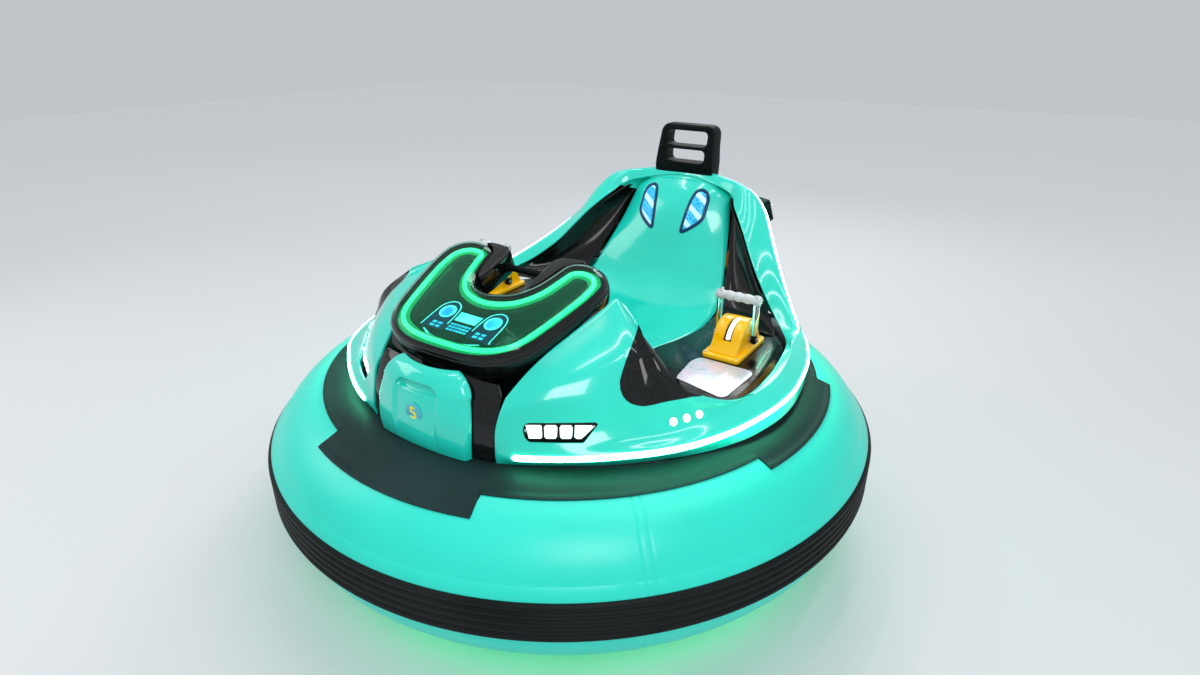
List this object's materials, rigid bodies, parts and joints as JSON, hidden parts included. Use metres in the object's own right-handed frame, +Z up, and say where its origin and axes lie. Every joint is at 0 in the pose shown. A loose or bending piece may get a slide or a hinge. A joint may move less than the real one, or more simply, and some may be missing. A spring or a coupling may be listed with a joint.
{
  "type": "bumper car",
  "caption": "Round one-seat bumper car: inflated ring, moulded shell body, two hand levers, driven wheels and swivelling casters.",
  "frame": {"origin": "on the floor under the middle of the ring", "axes": "+Z up, -Y the way the car faces, +X the driver's left"},
  "size_m": [1.918, 1.9176, 1.192],
  "materials": {
    "pvc_mint": "satin inflated PVC sheet",
    "bumper_rubber": "ribbed black rubber",
    "skirt_vinyl": "grained black vinyl",
    "body_mint": "high gloss moulded shell",
    "body_black": "piano black with fine glints",
    "lining_black": "gloss black lining",
    "pan_black": "black painted steel",
    "battery_case": "plain block",
    "motor_steel": "grey painted steel",
    "wheel_rubber": "black tread",
    "fork_steel": "zinc plated",
    "caster_rubber": "grey black",
    "lens_clear": "clear dome",
    "lever_acrylic": "clear acrylic",
    "box_amber": "gloss amber yellow",
    "light_white": "lit strip",
    "light_green": "lit strip",
    "display_blue": "lit display",
    "lamp_blue": "blue prismatic lens",
    "lamp_amber": "amber lens",
    "plate_silver": "silver film",
    "soft_black": "satin black"
  },
  "bodies": {
    "car": {"ring_tube": "pvc_mint", "bumper_band": "bumper_rubber", "top_skirt": "skirt_vinyl", "under_glow": "light_green", "chassis_pan": "pan_black", "battery_block": "battery_case", "drive_mounts": "motor_steel", "side_shell_left": "body_mint", "side_shell_right": "body_mint", "rear_sill": "body_mint", "arm_arch": "body_mint", "back_shell": "body_black", "charge_socket": "soft_black", "rear_lamps": "lamp_amber", "front_frame": "body_black", "front_panel": "body_mint", "side_vents": "body_black", "head_lamps": "light_white", "side_lamps": "light_white", "sill_lights": "light_white", "arm_lights": "light_white", "dash_hood": "body_black", "dash_lens": "lens_clear", "dash_light": "light_green", "dash_display": "display_blue", "grab_bar": "soft_black", "cockpit_tub": "lining_black", "side_linings": "lining_black", "seat_riser": "lining_black", "seat_shell": "body_mint", "seat_lamps": "lamp_blue", "headrest_handle": "soft_black", "info_plates": "plate_silver", "control_box_left": "box_amber", "control_box_right": "box_amber", "belt_fittings": "soft_black", "inflation_valve": "soft_black"},
    "left_lever": {"lever_left": "lever_acrylic"},
    "right_lever": {"lever_right": "lever_acrylic"},
    "left_wheel": {"drive_wheel_left": "wheel_rubber"},
    "right_wheel": {"drive_wheel_right": "wheel_rubber"},
    "front_swivel": {"caster_fork_front": "fork_steel"},
    "rear_swivel": {"caster_fork_rear": "fork_steel"},
    "front_caster": {"caster_wheel_front": "caster_rubber"},
    "rear_caster": {"caster_wheel_rear": "caster_rubber"}
  },
  "joints": [
    {"name": "left_lever_pivot", "type": "hinge", "parent": "car", "child": "left_lever", "pos_m": [0.488, 0.19, 0.655], "axis": [1, 0, 0], "range_deg": [-30, 30]},
    {"name": "right_lever_pivot", "type": "hinge", "parent": "car", "child": "right_lever", "pos_m": [-0.488, 0.19, 0.655], "axis": [1, 0, 0], "range_deg": [-30, 30]},
    {"name": "left_wheel_spin", "type": "hinge", "parent": "car", "child": "left_wheel", "pos_m": [0.33, 0, 0.084], "axis": [1, 0, 0], "continuous": true},
    {"name": "right_wheel_spin", "type": "hinge", "parent": "car", "child": "right_wheel", "pos_m": [-0.33, 0, 0.084], "axis": [1, 0, 0], "continuous": true},
    {"name": "front_swivel_turn", "type": "hinge", "parent": "car", "child": "front_swivel", "pos_m": [0, -0.335, 0.16], "axis": [0, 0, 1], "continuous": true},
    {"name": "rear_swivel_turn", "type": "hinge", "parent": "car", "child": "rear_swivel", "pos_m": [0, 0.335, 0.16], "axis": [0, 0, 1], "continuous": true},
    {"name": "front_caster_spin", "type": "hinge", "parent": "front_swivel", "child": "front_caster", "pos_m": [0, -0.305, 0.05], "axis": [1, 0, 0], "continuous": true},
    {"name": "rear_caster_spin", "type": "hinge", "parent": "rear_swivel", "child": "rear_caster", "pos_m": [0, 0.365, 0.05], "axis": [1, 0, 0], "continuous": true}
  ]
}
